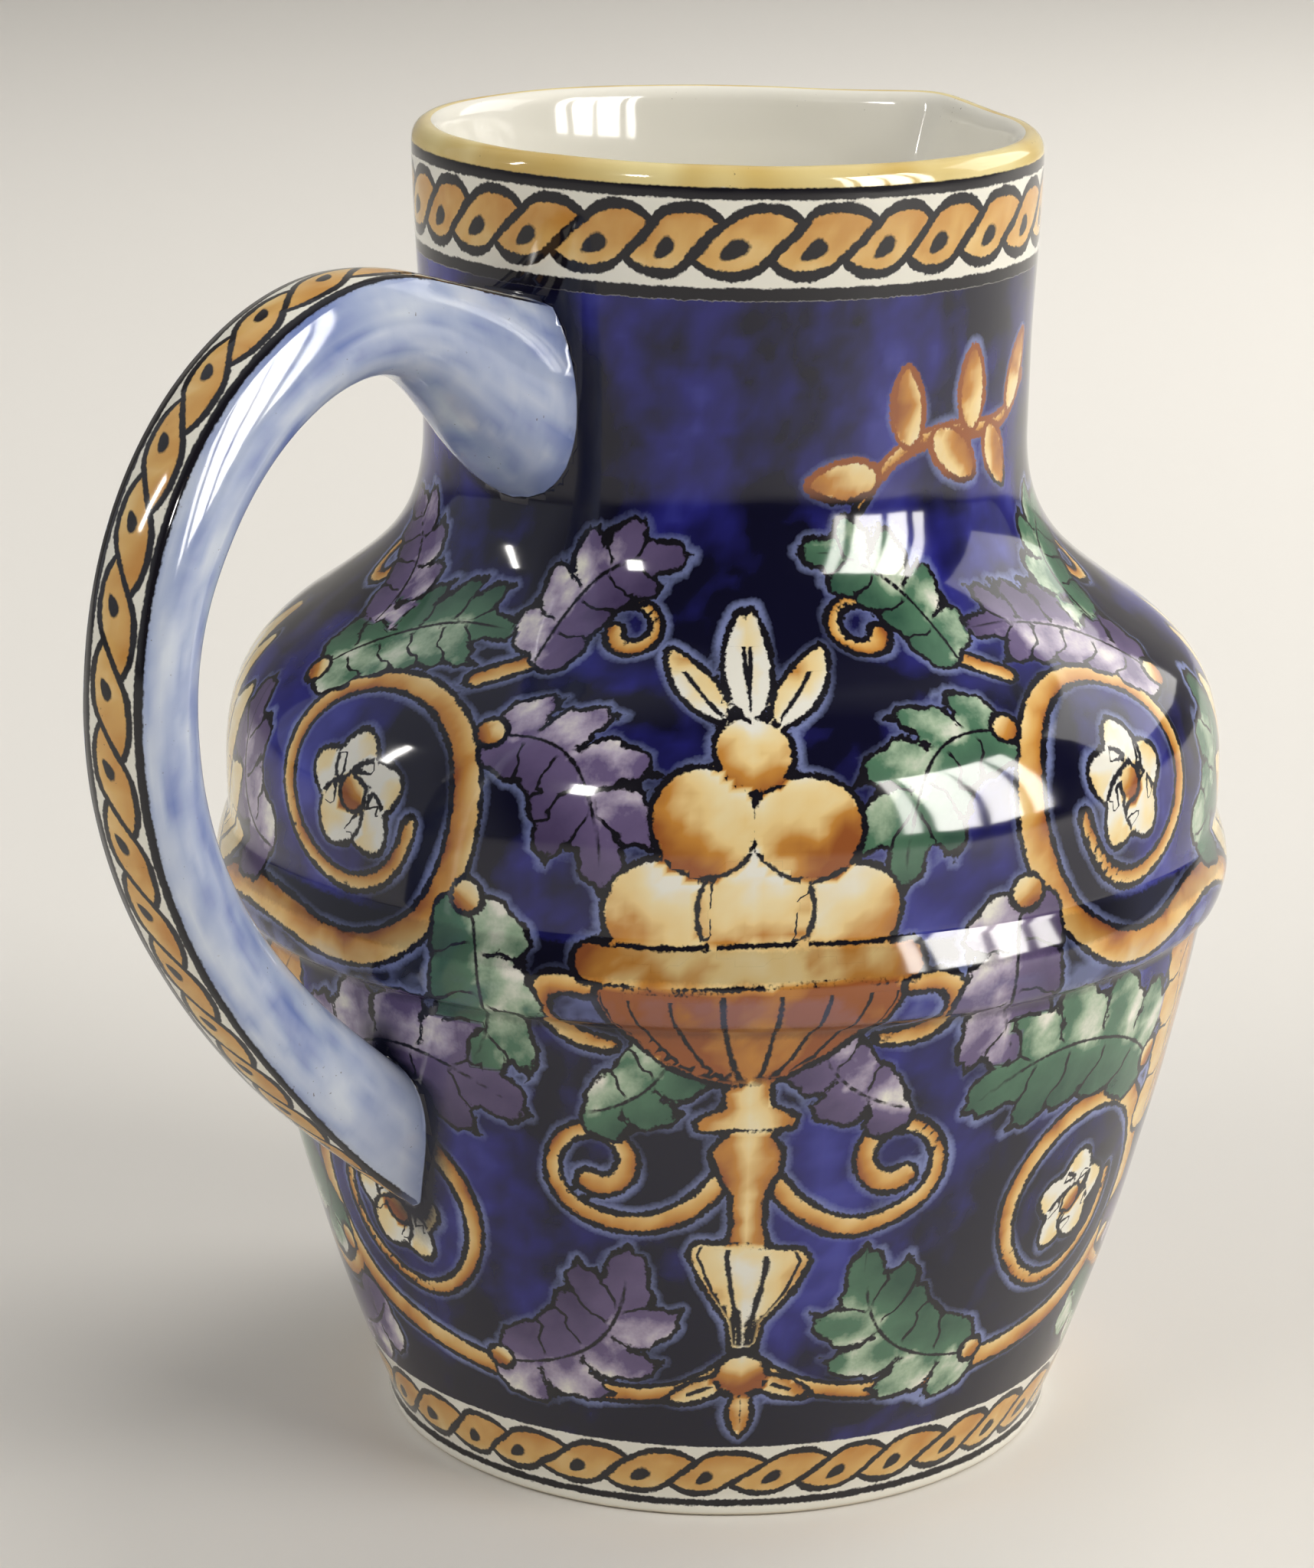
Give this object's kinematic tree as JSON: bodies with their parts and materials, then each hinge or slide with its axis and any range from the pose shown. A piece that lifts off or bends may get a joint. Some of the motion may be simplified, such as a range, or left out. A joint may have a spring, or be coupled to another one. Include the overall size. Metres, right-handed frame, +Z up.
{
  "type": "cream jug",
  "caption": "Glazed earthenware cream jug: hollow pot with a moulded ridge round the belly, a short neck with a small pouring lip and a strap handle.",
  "frame": {"origin": "on the axis of the pot, in the plane of the flat underside that it stands on", "axes": "+Z up along the axis of the pot, +X towards the pouring lip, -X towards the handle"},
  "size_m": [0.1192, 0.0932, 0.1205],
  "materials": {
    "glazed_earthenware": "glossy clear glaze over a painted cobalt ground"
  },
  "bodies": {
    "root": {"jug": "glazed_earthenware"}
  },
  "joints": []
}
